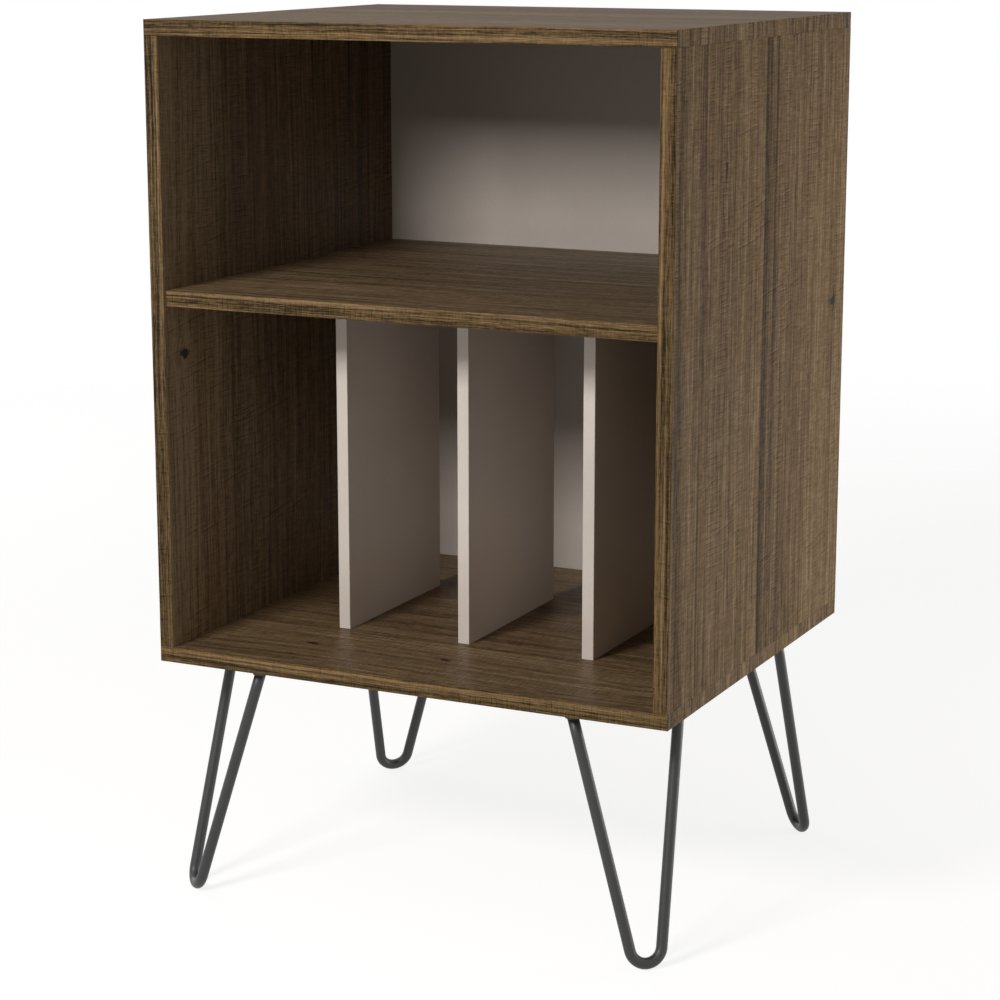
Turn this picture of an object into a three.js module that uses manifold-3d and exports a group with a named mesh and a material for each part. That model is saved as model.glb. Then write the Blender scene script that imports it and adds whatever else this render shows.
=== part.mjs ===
// Record storage stand: an open cabinet with a turntable bay above and a record bay below,
// three record dividers, and four splayed hairpin legs.
// Millimetres. +X is right, +Y is towards the back, +Z is up. The origin is on the floor,
// under the middle of the stand.

import * as THREE from 'three';
import { mergeVertices } from 'three/addons/utils/BufferGeometryUtils.js';
import Module from 'manifold-3d';

const wasm = await Module();
wasm.setup();

// ---------------------------------------------------------------- driving dimensions

// carcass
const WIDTH = 530;             // over the side panels
const DEPTH = 457;             // front edge to rear edge of the boards
const BOARD = 15;              // board of the carcass and shelf
const RECORD_BAY = 332;        // clear height of the lower bay
const TURNTABLE_BAY = 236;     // clear height of the upper bay
const ARRIS = 0.6;             // small chamfer on every board edge
const SHELF_SETBACK = 3;       // shelf behind the front edges of the sides

// back panel
const BACK_BOARD = 3;
const BACK_INSET = 3;          // back panel inside the carcass outline, all round
const BACK_ARRIS = 0.3;

// record dividers
const DIVIDER_BOARD = 12;
const DIVIDER_DEPTH = 197;
const DIVIDER_SETBACK = 133.5; // divider behind the front edges of the sides
const FIRST_SLOT = 109;        // clear width left of the left divider
const SLOT = 119.5;            // clear width between dividers

// hairpin legs
const LEG_HEIGHT = 234;        // floor to the underside of the bottom panel
const ROD = 10.7;              // rod diameter
const ROD_SPREAD = 106.6;      // between the rod centres, at the underside of the bottom panel
const BEND_RADIUS = 16;        // to the rod's centre line
const SPLAY = 14.2;            // degrees, outwards over the corner
const LEG_INSET_SIDE = 64.5;   // from the side to the middle between the rods
const LEG_INSET_FRONT = 57;
const LEG_INSET_REAR = 65;
const WELD = 2.2;              // weld bead beyond the rod, at the plate
const WELD_REACH = 4.4;        // weld bead down the rod
const WELD_SHOULDER = 1.5;     // the bead's round shoulder: beyond the rod, and below the plate
const WELD_SHOULDER_DOWN = 1.8;
const WELD_BITE = 0.1;         // the bead's thin end, into the rod

// leg plates
const PLATE = 2.5;
const PLATE_MARGIN = 10;       // corner radius, and plate outside a rod's centre
const PLATE_NOSE = 38;         // from the rods' line out to the nose hole
const PLATE_HOLE_SPREAD = 52;  // between the two inner holes
const PLATE_HOLE_OFFSET = 9;   // inner holes out from the rods' line

// leg screws, pan head
const LEG_SCREW = 4;
const LEG_SCREW_LENGTH = 14;
const LEG_SCREW_HEAD = 8.2;
const LEG_SCREW_HEAD_HEIGHT = 2.4;
const PAN_FLAT = 0.62;         // flat of the head, as a share of the head's radius
const PAN_SHOULDER = 0.9;
const PAN_SHOULDER_HEIGHT = 0.7; // as a share of the head's height
const PAN_RIM_HEIGHT = 0.25;

// carcass screws and divider screws, countersunk
const BASE_SCREW = 5;
const BASE_SCREW_LENGTH = 50;
const BASE_SCREW_HEAD = 10;
const DIVIDER_SCREW = 4;
const DIVIDER_SCREW_LENGTH = 40;
const DIVIDER_SCREW_HEAD = 8;

// cross recess, as shares of the radius that it is cut to
const RECESS_REACH = 0.55;
const RECESS_HALF_WIDTH = 0.12;
const RECESS_DEPTH = 0.35;

// dowels
const DOWEL = 8;
const DOWEL_IN_FACE = 10;      // depth in the face of a board
const DOWEL_IN_EDGE = 20;      // depth in the edge of a board
const DOWEL_CHAMFER = 1;
const THIN_DOWEL = 6;          // for the dividers
const THIN_DOWEL_IN_EDGE = 17;

// cam fittings of the shelf
const CAM = 15;                // diameter
const CAM_HEIGHT = 11.6;
const CAM_DISTANCE = 24;       // from the end of the shelf to the cam's centre
const CAM_CHAMBER = 10.8;      // diameter of the hollow that holds the bolt's head
const CAM_RECESS_RADIUS = 5.25;
const BOLT_THREAD = 5;
const BOLT_THREAD_LENGTH = 10;
const BOLT_COLLAR = 7;
const BOLT_COLLAR_LENGTH = 1.5;
const BOLT_NECK = 4;
const BOLT_HEAD = 6;
const BOLT_HEAD_LENGTH = 4;

// where the fixings sit, from the front and rear edges of the board they hold
const CORNER_FIXING = 48;
const SHELF_FIXING = 62;
const DIVIDER_FIXING = 32;

// clearances
const FIT = 0.3;               // round a fastener in its hole
const HOLE_END = 0.6;          // past a fastener's end

// ---------------------------------------------------------------- levels and edges

const UNDERSIDE = LEG_HEIGHT;
const BAY_FLOOR = UNDERSIDE + BOARD;
const SHELF_UNDERSIDE = BAY_FLOOR + RECORD_BAY;
const SHELF_TOP = SHELF_UNDERSIDE + BOARD;
const TOP_UNDERSIDE = SHELF_TOP + TURNTABLE_BAY;
const TOP = TOP_UNDERSIDE + BOARD;
const FRONT = -(DEPTH + BACK_BOARD) / 2;
const REAR = FRONT + DEPTH;
const SIDE = WIDTH / 2;
const INSIDE = SIDE - BOARD;
const SIDE_MIDDLE = SIDE - BOARD / 2;
const DIVIDER_FRONT = FRONT + DIVIDER_SETBACK;
const DIVIDER_REAR = DIVIDER_FRONT + DIVIDER_DEPTH;
const SHELF_MIDDLE = SHELF_UNDERSIDE + BOARD / 2;

const SMALL_SIDES = 12;        // facets round a fastener and its hole
const CAM_SIDES = 20;
const ROD_SIDES = 16;
const BEND_STEPS = 14;
const PLATE_CURVE_STEPS = 6;
const OVERCUT = 1;             // a cutter starts this far outside the surface
const MERGE_DISTANCE = 1e-5;   // vertices closer than this are one

const UP = new THREE.Vector3(0, 0, 1);
const DOWN = new THREE.Vector3(0, 0, -1);

// ---------------------------------------------------------------- materials

const woodBoard = new THREE.MeshStandardMaterial({ color: '#6d5a48', roughness: 0.55, metalness: 0 });
const paleBoard = new THREE.MeshStandardMaterial({ color: '#cfc3b8', roughness: 0.6, metalness: 0 });
const legPaint = new THREE.MeshStandardMaterial({ color: '#3c3d3f', roughness: 0.5, metalness: 0.3 });
const zinc = new THREE.MeshStandardMaterial({ color: '#a9abac', roughness: 0.35, metalness: 0.9 });
const beech = new THREE.MeshStandardMaterial({ color: '#c9a574', roughness: 0.8, metalness: 0 });

// ---------------------------------------------------------------- solids

function toSolid(geometry) {
  const bare = geometry.clone();
  bare.deleteAttribute('normal');
  bare.deleteAttribute('uv');
  const merged = mergeVertices(bare, MERGE_DISTANCE);
  const corners = Array.from(merged.index.array);
  const triVerts = [];
  for (let i = 0; i < corners.length; i += 3) {
    const [a, b, c] = corners.slice(i, i + 3);
    if (a !== b && b !== c && c !== a) triVerts.push(a, b, c);
  }
  return new wasm.Manifold(new wasm.Mesh({
    numProp: 3,
    vertProperties: new Float32Array(merged.attributes.position.array),
    triVerts: new Uint32Array(triVerts),
  }));
}

function toGeometry(solid) {
  const mesh = solid.getMesh();
  const geometry = new THREE.BufferGeometry();
  geometry.setAttribute('position', new THREE.BufferAttribute(mesh.vertProperties, 3));
  geometry.setIndex(new THREE.BufferAttribute(mesh.triVerts, 1));
  return geometry;
}

// A named mesh of a solid made along +Z, set at its place and turned to its direction.
function piece(name, solid, material, position = new THREE.Vector3(), direction = UP) {
  const flat = toGeometry(solid).toNonIndexed();
  flat.computeVertexNormals();
  const mesh = new THREE.Mesh(flat, material);
  mesh.name = name;
  mesh.position.copy(position);
  mesh.quaternion.setFromUnitVectors(UP, direction);
  return mesh;
}

// A solid of revolution about +Z, from [radius, height] pairs listed upwards.
function turned(profile, sides = SMALL_SIDES) {
  const points = profile.map(([radius, height]) => new THREE.Vector2(radius, height));
  return new THREE.LatheGeometry(points, sides).rotateX(Math.PI / 2);
}

function cylinder(radius, bottom, top, sides = SMALL_SIDES) {
  return turned([[0, bottom], [radius, bottom], [radius, top], [0, top]], sides);
}

function block(low, high) {
  const size = new THREE.Vector3().subVectors(high, low);
  const centre = new THREE.Vector3().addVectors(low, high).multiplyScalar(0.5);
  return new THREE.BoxGeometry(size.x, size.y, size.z).translate(centre.x, centre.y, centre.z);
}

// Turns a geometry made along +Z to lie along a direction.
function along(geometry, direction) {
  return geometry.applyQuaternion(new THREE.Quaternion().setFromUnitVectors(UP, direction));
}

// ---------------------------------------------------------------- boards

// A board with its small chamfer on all edges, centred on the origin.
function boardGeometry(size, arris) {
  const x = size.x / 2 - arris;
  const y = size.y / 2 - arris;
  const outline = new THREE.Shape();
  outline.moveTo(-x, -y);
  outline.lineTo(x, -y);
  outline.lineTo(x, y);
  outline.lineTo(-x, y);
  outline.closePath();
  const core = size.z - 2 * arris;
  const geometry = new THREE.ExtrudeGeometry(outline, {
    depth: core, bevelThickness: arris, bevelSize: arris, bevelSegments: 1,
  });
  return geometry.translate(0, 0, -core / 2);
}

const boards = [
  {
    name: 'top_panel', material: woodBoard,
    low: [-SIDE, FRONT, TOP_UNDERSIDE], high: [SIDE, REAR, TOP],
  },
  {
    name: 'bottom_panel', material: woodBoard,
    low: [-SIDE, FRONT, UNDERSIDE], high: [SIDE, REAR, BAY_FLOOR],
  },
  {
    name: 'left_side_panel', material: woodBoard,
    low: [-SIDE, FRONT, BAY_FLOOR], high: [-INSIDE, REAR, TOP_UNDERSIDE],
  },
  {
    name: 'right_side_panel', material: woodBoard,
    low: [INSIDE, FRONT, BAY_FLOOR], high: [SIDE, REAR, TOP_UNDERSIDE],
  },
  {
    name: 'middle_shelf', material: woodBoard,
    low: [-INSIDE, FRONT + SHELF_SETBACK, SHELF_UNDERSIDE], high: [INSIDE, REAR, SHELF_TOP],
  },
  {
    name: 'back_panel', material: paleBoard, arris: BACK_ARRIS,
    low: [-SIDE + BACK_INSET, REAR, UNDERSIDE + BACK_INSET],
    high: [SIDE - BACK_INSET, REAR + BACK_BOARD, TOP - BACK_INSET],
  },
];

const dividerNames = ['left', 'centre', 'right'];
const dividerMiddle = (index) => (
  -INSIDE + FIRST_SLOT + DIVIDER_BOARD / 2 + index * (SLOT + DIVIDER_BOARD)
);

dividerNames.forEach((where, index) => {
  const middle = dividerMiddle(index);
  boards.push({
    name: `${where}_divider`, material: paleBoard,
    low: [middle - DIVIDER_BOARD / 2, DIVIDER_FRONT, BAY_FLOOR],
    high: [middle + DIVIDER_BOARD / 2, DIVIDER_REAR, SHELF_UNDERSIDE],
  });
});

function makeBoard({ name, material, low, high, arris = ARRIS }, holes) {
  const lowCorner = new THREE.Vector3(...low);
  const highCorner = new THREE.Vector3(...high);
  const size = new THREE.Vector3().subVectors(highCorner, lowCorner);
  const centre = new THREE.Vector3().addVectors(lowCorner, highCorner).multiplyScalar(0.5);
  let solid = toSolid(boardGeometry(size, arris));
  for (const hole of holes) {
    const at = hole.at.clone().sub(centre);
    const cutter = along(turned(hole.profile), hole.direction).translate(at.x, at.y, at.z);
    solid = solid.subtract(toSolid(cutter));
  }
  return piece(name, solid, material, centre);
}

// ---------------------------------------------------------------- fixings
// A fixing is made along +Z from the joint, turned to its direction and set at its place.
// It lists the holes that it needs: board, place, direction and profile.

const fixings = [];

function addFixing(name, solid, material, at, direction, holes) {
  const drilled = holes.map((hole) => ({ at, direction, ...hole }));
  fixings.push({ name, solid, material, at, direction, holes: drilled });
}

function blindHole(radius, depth) {
  return [[0, -OVERCUT], [radius, -OVERCUT], [radius, depth], [0, depth]];
}

// A dowel across the joint between the face of one board and the edge of another.
function addDowel(name, { diameter, inFace, inEdge, at, direction, face, edge }) {
  const radius = diameter / 2;
  const dowel = toSolid(turned([
    [0, -inFace], [radius - DOWEL_CHAMFER, -inFace], [radius, DOWEL_CHAMFER - inFace],
    [radius, inEdge - DOWEL_CHAMFER], [radius - DOWEL_CHAMFER, inEdge], [0, inEdge],
  ]));
  const intoFace = direction.clone().negate();
  addFixing(name, dowel, beech, at, direction, [
    { board: face, direction: intoFace, profile: blindHole(radius + FIT, inFace + HOLE_END) },
    { board: edge, profile: blindHole(radius + FIT, inEdge + HOLE_END) },
  ]);
}

// A countersunk screw driven up through the bottom panel into the edge of a board.
function addBaseScrew(name, { diameter, length, head, x, y, board }) {
  const radius = diameter / 2;
  const headRadius = head / 2;
  const cone = headRadius - radius;
  const screw = toSolid(turned([
    [0, 0], [headRadius, 0], [radius, cone], [radius, length - diameter], [0, length],
  ]));
  const wide = headRadius + FIT;
  const narrow = radius + FIT;
  const at = new THREE.Vector3(x, y, UNDERSIDE);
  addFixing(name, crossRecessed(screw, 0, headRadius), zinc, at, UP, [
    {
      board: 'bottom_panel',
      profile: [
        [0, -OVERCUT], [wide, -OVERCUT], [wide, FIT], [narrow, FIT + wide - narrow],
        [narrow, BOARD + OVERCUT], [0, BOARD + OVERCUT],
      ],
    },
    {
      board,
      at: new THREE.Vector3(x, y, BAY_FLOOR),
      profile: blindHole(narrow, length - BOARD + HOLE_END),
    },
  ]);
}

// Cuts a cross recess into the end of a fastener that faces -Z at the given height.
function crossRecessed(solid, height, radius) {
  const reach = radius * RECESS_REACH;
  const half = radius * RECESS_HALF_WIDTH;
  const deep = height + radius * RECESS_DEPTH;
  const bar = (x, y) => toSolid(block(
    new THREE.Vector3(-x, -y, height - OVERCUT), new THREE.Vector3(x, y, deep)));
  return solid.subtract(bar(reach, half)).subtract(bar(half, reach));
}

function addCarcassFixings() {
  for (const [side, sign] of [['left', -1], ['right', 1]]) {
    const x = sign * SIDE_MIDDLE;
    const panel = `${side}_side_panel`;
    for (const [end, y] of [['front', FRONT + CORNER_FIXING], ['rear', REAR - CORNER_FIXING]]) {
      addDowel(`top_dowel_${side}_${end}`, {
        diameter: DOWEL, inFace: DOWEL_IN_FACE, inEdge: DOWEL_IN_EDGE,
        at: new THREE.Vector3(x, y, TOP_UNDERSIDE), direction: DOWN, face: 'top_panel', edge: panel,
      });
      addBaseScrew(`base_screw_${side}_${end}`, {
        diameter: BASE_SCREW, length: BASE_SCREW_LENGTH, head: BASE_SCREW_HEAD, x, y, board: panel,
      });
    }
    addDowel(`base_dowel_${side}`, {
      diameter: DOWEL, inFace: DOWEL_IN_FACE, inEdge: DOWEL_IN_EDGE,
      at: new THREE.Vector3(x, (FRONT + REAR) / 2, BAY_FLOOR), direction: UP,
      face: 'bottom_panel', edge: panel,
    });
  }
}

function addDividerFixings() {
  dividerNames.forEach((where, index) => {
    const x = dividerMiddle(index);
    const board = `${where}_divider`;
    const ends = [['front', DIVIDER_FRONT + DIVIDER_FIXING], ['rear', DIVIDER_REAR - DIVIDER_FIXING]];
    for (const [end, y] of ends) {
      addBaseScrew(`${where}_divider_screw_${end}`, {
        diameter: DIVIDER_SCREW, length: DIVIDER_SCREW_LENGTH, head: DIVIDER_SCREW_HEAD, x, y, board,
      });
    }
    addDowel(`${where}_divider_dowel`, {
      diameter: THIN_DOWEL, inFace: DOWEL_IN_FACE, inEdge: THIN_DOWEL_IN_EDGE,
      at: new THREE.Vector3(x, (DIVIDER_FRONT + DIVIDER_REAR) / 2, SHELF_UNDERSIDE), direction: DOWN,
      face: 'middle_shelf', edge: board,
    });
  });
}

// ---------------------------------------------------------------- cam fittings of the shelf

// The cam lock, with its cross recess facing down. The bolt comes in from the given side, -1 or 1.
function camLock(side) {
  const middle = BOARD / 2;
  const headGap = BOLT_HEAD / 2 + FIT;
  const neckGap = BOLT_NECK / 2 + FIT;
  const radius = CAM / 2;
  const outside = radius + OVERCUT;
  const slotEnds = [0, side * outside].sort((a, b) => a - b);
  const chamber = cylinder(CAM_CHAMBER / 2, middle - headGap, middle + headGap, CAM_SIDES);
  const neckSlot = block(
    new THREE.Vector3(slotEnds[0], -outside, middle - neckGap),
    new THREE.Vector3(slotEnds[1], neckGap, middle + neckGap));
  const headEntry = block(
    new THREE.Vector3(-headGap, -outside, middle - headGap),
    new THREE.Vector3(headGap, 0, middle + headGap));
  const body = toSolid(cylinder(radius, 0, CAM_HEIGHT, CAM_SIDES))
    .subtract(toSolid(chamber))
    .subtract(toSolid(neckSlot))
    .subtract(toSolid(headEntry));
  return crossRecessed(body, 0, CAM_RECESS_RADIUS);
}

// The cam bolt, from its joint at height 0: thread below, collar, neck and head above.
function camBolt() {
  const headStart = CAM_DISTANCE - BOLT_HEAD_LENGTH / 2;
  return toSolid(turned([
    [0, -BOLT_THREAD_LENGTH],
    [BOLT_THREAD / 2, BOLT_THREAD / 4 - BOLT_THREAD_LENGTH],
    [BOLT_THREAD / 2, 0],
    [BOLT_COLLAR / 2, 0],
    [BOLT_COLLAR / 2, BOLT_COLLAR_LENGTH],
    [BOLT_NECK / 2, BOLT_COLLAR_LENGTH],
    [BOLT_NECK / 2, headStart],
    [BOLT_HEAD / 2, headStart + BOLT_HEAD_LENGTH / 4],
    [BOLT_HEAD / 2, headStart + BOLT_HEAD_LENGTH * 3 / 4],
    [0, headStart + BOLT_HEAD_LENGTH],
  ]));
}

function addShelfFixings() {
  const shelfFront = FRONT + SHELF_SETBACK;
  for (const [side, sign] of [['left', -1], ['right', 1]]) {
    const inwards = new THREE.Vector3(-sign, 0, 0);
    const outwards = inwards.clone().negate();
    const panel = `${side}_side_panel`;
    for (const [end, y] of [['front', shelfFront + SHELF_FIXING], ['rear', REAR - SHELF_FIXING]]) {
      const joint = new THREE.Vector3(sign * INSIDE, y, SHELF_MIDDLE);
      addFixing(`shelf_cam_bolt_${side}_${end}`, camBolt(), zinc, joint, inwards, [
        {
          board: panel, direction: outwards,
          profile: blindHole(BOLT_THREAD / 2 + FIT, BOLT_THREAD_LENGTH + HOLE_END),
        },
        { board: 'middle_shelf', profile: blindHole(BOLT_COLLAR / 2 + FIT, CAM_DISTANCE) },
      ]);
      const seat = new THREE.Vector3(sign * (INSIDE - CAM_DISTANCE), y, SHELF_UNDERSIDE);
      addFixing(`shelf_cam_lock_${side}_${end}`, camLock(sign), zinc, seat, UP, [
        { board: 'middle_shelf', profile: blindHole(CAM / 2 + FIT, CAM_HEIGHT + HOLE_END) },
      ]);
    }
    addDowel(`shelf_dowel_${side}`, {
      diameter: DOWEL, inFace: DOWEL_IN_FACE, inEdge: DOWEL_IN_EDGE,
      at: new THREE.Vector3(sign * INSIDE, (shelfFront + REAR) / 2, SHELF_MIDDLE), direction: inwards,
      face: panel, edge: 'middle_shelf',
    });
  }
}

// ---------------------------------------------------------------- hairpin legs
// A leg is made with its plate's top face at height 0, the rods side by side along X, and the
// foot leaning towards -Y.

const splay = THREE.MathUtils.degToRad(SPLAY);

// Centre line of the rod in its own flat plane: across, and down along the lean.
function hairpinPlan() {
  const half = ROD_SPREAD / 2;
  const lowest = (LEG_HEIGHT - ROD / 2) / Math.cos(splay);
  const centreDown = lowest - BEND_RADIUS;
  const toCentre = Math.hypot(half, centreDown);
  const lean = Math.atan2(half, centreDown) - Math.asin(BEND_RADIUS / toCentre);
  const shank = Math.sqrt(toCentre ** 2 - BEND_RADIUS ** 2);
  return { half, centreDown, lean, shank };
}

// Straight shank, round bend, straight shank. Equal steps of t put one step on each shank
// and the rest on the bend.
class HairpinCurve extends THREE.Curve {
  constructor(extra) {
    super();
    this.extra = extra;        // length added to each shank above the plate, to be cut flush
    this.plan = hairpinPlan();
  }

  getUtoTmapping(u) {
    return u;
  }

  getPoint(t) {
    const { half, centreDown, lean, shank } = this.plan;
    const step = t * (BEND_STEPS + 2);
    const side = step < (BEND_STEPS + 2) / 2 ? -1 : 1;
    const fromEnd = side < 0 ? step : BEND_STEPS + 2 - step;
    let across;
    let down;
    if (fromEnd < 1) {
      const run = fromEnd * (shank + this.extra) - this.extra;
      across = side * (half - run * Math.sin(lean));
      down = run * Math.cos(lean);
    } else {
      const swept = Math.PI - 2 * lean;
      const angle = lean + (fromEnd - 1) / BEND_STEPS * swept;
      across = side * BEND_RADIUS * Math.cos(angle);
      down = centreDown + BEND_RADIUS * Math.sin(angle);
    }
    return new THREE.Vector3(across, -down * Math.sin(splay), -down * Math.cos(splay));
  }
}

function rodOutline() {
  const outline = new THREE.Shape();
  for (let i = 0; i < ROD_SIDES; i += 1) {
    const angle = i / ROD_SIDES * 2 * Math.PI;
    const x = ROD / 2 * Math.cos(angle);
    const y = ROD / 2 * Math.sin(angle);
    if (i === 0) outline.moveTo(x, y);
    else outline.lineTo(x, y);
  }
  outline.closePath();
  return outline;
}

// The centre of a rod where it meets the underside of the plate.
function rodEnd(sign) {
  const { half, lean } = hairpinPlan();
  const down = PLATE / Math.cos(splay);
  return new THREE.Vector3(sign * (half - down * Math.tan(lean)), -down * Math.sin(splay), -PLATE);
}

// Tapers down the rod from the plate, and is cut flush with it later.
function weldBead(sign) {
  const { lean } = hairpinPlan();
  const end = rodEnd(sign);
  const radius = ROD / 2;
  const upTheRod = new THREE.Vector3(
    sign * Math.sin(lean), Math.cos(lean) * Math.sin(splay), Math.cos(lean) * Math.cos(splay));
  const bead = turned([
    [0, -WELD_REACH], [radius - WELD_BITE, -WELD_REACH],
    [radius + WELD_SHOULDER, -WELD_SHOULDER_DOWN], [radius + WELD, 0], [radius + WELD, ROD], [0, ROD],
  ], ROD_SIDES);
  return along(bead, upTheRod).translate(end.x, end.y, end.z);
}

function legRod() {
  const tube = new THREE.ExtrudeGeometry(rodOutline(), {
    steps: BEND_STEPS + 2, extrudePath: new HairpinCurve(ROD),
  });
  const reach = ROD_SPREAD;
  const above = block(
    new THREE.Vector3(-reach, -reach, -PLATE), new THREE.Vector3(reach, reach, reach));
  return toSolid(tube)
    .add(toSolid(weldBead(-1)))
    .add(toSolid(weldBead(1)))
    .subtract(toSolid(above));
}

// Outline round a convex polygon, listed anticlockwise, with rounded corners outside it.
function roundedOutline(corners, radius) {
  const outline = new THREE.Shape();
  corners.forEach((corner, i) => {
    const before = corners[(i + corners.length - 1) % corners.length];
    const after = corners[(i + 1) % corners.length];
    const start = Math.atan2(corner.y - before.y, corner.x - before.x) - Math.PI / 2;
    const end = Math.atan2(after.y - corner.y, after.x - corner.x) - Math.PI / 2;
    outline.absarc(corner.x, corner.y, radius, start, end, false);
  });
  outline.closePath();
  return outline;
}

const plateHoles = [
  new THREE.Vector2(0, -PLATE_NOSE),
  new THREE.Vector2(-PLATE_HOLE_SPREAD / 2, -PLATE_HOLE_OFFSET),
  new THREE.Vector2(PLATE_HOLE_SPREAD / 2, -PLATE_HOLE_OFFSET),
];

function legPlate() {
  const left = rodEnd(-1);
  const right = rodEnd(1);
  const outline = roundedOutline([
    new THREE.Vector2(left.x, left.y),
    new THREE.Vector2(0, -PLATE_NOSE),
    new THREE.Vector2(right.x, right.y),
  ], PLATE_MARGIN);
  for (const hole of plateHoles) {
    const rim = new THREE.Path();
    rim.absarc(hole.x, hole.y, LEG_SCREW / 2 + FIT, 0, 2 * Math.PI, true);
    outline.holes.push(rim);
  }
  const plate = new THREE.ExtrudeGeometry(outline, {
    depth: PLATE, bevelEnabled: false, curveSegments: PLATE_CURVE_STEPS,
  });
  return toSolid(plate.translate(0, 0, -PLATE));
}

// Pan head under the plate, shank up into the board.
function legScrew() {
  const head = LEG_SCREW_HEAD / 2;
  const radius = LEG_SCREW / 2;
  const top = LEG_SCREW_LENGTH - PLATE;
  const under = -PLATE;
  const screw = toSolid(turned([
    [0, under - LEG_SCREW_HEAD_HEIGHT],
    [head * PAN_FLAT, under - LEG_SCREW_HEAD_HEIGHT],
    [head * PAN_SHOULDER, under - LEG_SCREW_HEAD_HEIGHT * PAN_SHOULDER_HEIGHT],
    [head, under - LEG_SCREW_HEAD_HEIGHT * PAN_RIM_HEIGHT],
    [head, under],
    [radius, under],
    [radius, top - LEG_SCREW],
    [0, top],
  ]));
  return crossRecessed(screw, under - LEG_SCREW_HEAD_HEIGHT, head);
}

const corners = [
  { name: 'front_left', x: -1, y: -1, inset: LEG_INSET_FRONT, turn: -45 },
  { name: 'front_right', x: 1, y: -1, inset: LEG_INSET_FRONT, turn: 45 },
  { name: 'rear_right', x: 1, y: 1, inset: LEG_INSET_REAR, turn: 135 },
  { name: 'rear_left', x: -1, y: 1, inset: LEG_INSET_REAR, turn: -135 },
];

function cornerPlace({ x, y, inset }) {
  const edge = y < 0 ? FRONT : REAR;
  return new THREE.Vector3(x * (SIDE - LEG_INSET_SIDE), edge - y * inset, UNDERSIDE);
}

function makeLeg(corner) {
  const leg = new THREE.Group();
  leg.position.copy(cornerPlace(corner));
  leg.rotation.z = THREE.MathUtils.degToRad(corner.turn);
  leg.add(piece(`${corner.name}_leg_rod`, legRod(), legPaint));
  leg.add(piece(`${corner.name}_leg_plate`, legPlate(), legPaint));
  plateHoles.forEach((hole, i) => {
    const at = new THREE.Vector3(hole.x, hole.y, 0);
    leg.add(piece(`${corner.name}_leg_screw_${i + 1}`, legScrew(), zinc, at));
  });
  return leg;
}

// The holes in the bottom panel for one leg's screws.
function legScrewHoles(corner) {
  const turn = THREE.MathUtils.degToRad(corner.turn);
  return plateHoles.map((hole) => {
    const at = new THREE.Vector3(hole.x, hole.y, 0).applyAxisAngle(UP, turn).add(cornerPlace(corner));
    const depth = LEG_SCREW_LENGTH - PLATE + HOLE_END;
    return { board: 'bottom_panel', at, direction: UP, profile: blindHole(LEG_SCREW / 2 + FIT, depth) };
  });
}

// ---------------------------------------------------------------- assembly

addCarcassFixings();
addShelfFixings();
addDividerFixings();

const holes = [...fixings.flatMap((fixing) => fixing.holes), ...corners.flatMap(legScrewHoles)];

const stand = new THREE.Group();
for (const board of boards) {
  stand.add(makeBoard(board, holes.filter((hole) => hole.board === board.name)));
}
for (const { name, solid, material, at, direction } of fixings) {
  stand.add(piece(name, solid, material, at, direction));
}
for (const corner of corners) {
  stand.add(makeLeg(corner));
}

export default stand;
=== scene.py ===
import math

import bmesh
import bpy
from mathutils import Matrix, Vector


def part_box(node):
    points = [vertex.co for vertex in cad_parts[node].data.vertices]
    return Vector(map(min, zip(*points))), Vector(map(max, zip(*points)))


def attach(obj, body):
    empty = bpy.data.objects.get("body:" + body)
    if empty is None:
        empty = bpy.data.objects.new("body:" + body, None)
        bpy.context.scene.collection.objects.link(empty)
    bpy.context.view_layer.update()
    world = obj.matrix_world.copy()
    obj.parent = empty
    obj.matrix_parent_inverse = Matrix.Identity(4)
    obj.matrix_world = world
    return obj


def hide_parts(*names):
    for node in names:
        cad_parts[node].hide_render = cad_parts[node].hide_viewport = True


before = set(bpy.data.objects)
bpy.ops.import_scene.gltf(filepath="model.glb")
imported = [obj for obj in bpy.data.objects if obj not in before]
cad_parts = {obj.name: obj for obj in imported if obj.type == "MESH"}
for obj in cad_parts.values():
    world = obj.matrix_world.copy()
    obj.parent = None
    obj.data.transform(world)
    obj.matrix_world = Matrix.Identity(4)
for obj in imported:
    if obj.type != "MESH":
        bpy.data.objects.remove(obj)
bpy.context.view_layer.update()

# Record storage stand. Metres; +X is right, +Y is towards the back, +Z is up.
# Boards with edge bands, nails, hairpin legs and fastenings stand for the plain solids.

MM = 0.001

# -------- dimensions

ARRIS = 0.5 * MM               # rounding of an edge band's outer edges
SEAM = 0.12 * MM               # rounding of every other board edge
BAND = 0.8 * MM                # edge band thickness
ROUND_STEPS = 3
CUT_MARGIN = 1 * MM            # how far a cutter starts outside what it cuts

# Where the grain starts on each board and band, in metres, so that no two look alike.
GRAIN_START = {
    "top_board": 10.0, "top_front": 1.0, "top_ends": 3.0,
    "bottom_board": 20.0, "bottom_front": 7.0, "bottom_ends": 9.0,
    "left_side_board": 30.4, "left_side_front": 0.4,
    "right_side_board": 32.6, "right_side_front": 2.6,
    "shelf_board": 44.0, "shelf_front": 13.0,
    "left_divider": 60.0, "centre_divider": 61.0, "right_divider": 62.0,
    "back_board": 50.0,
}
FACE_STEP = 2.3                # between the grain starts of a board's faces, where none is given
BAND_STEP = 5.1                # between those of a board's bands

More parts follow.
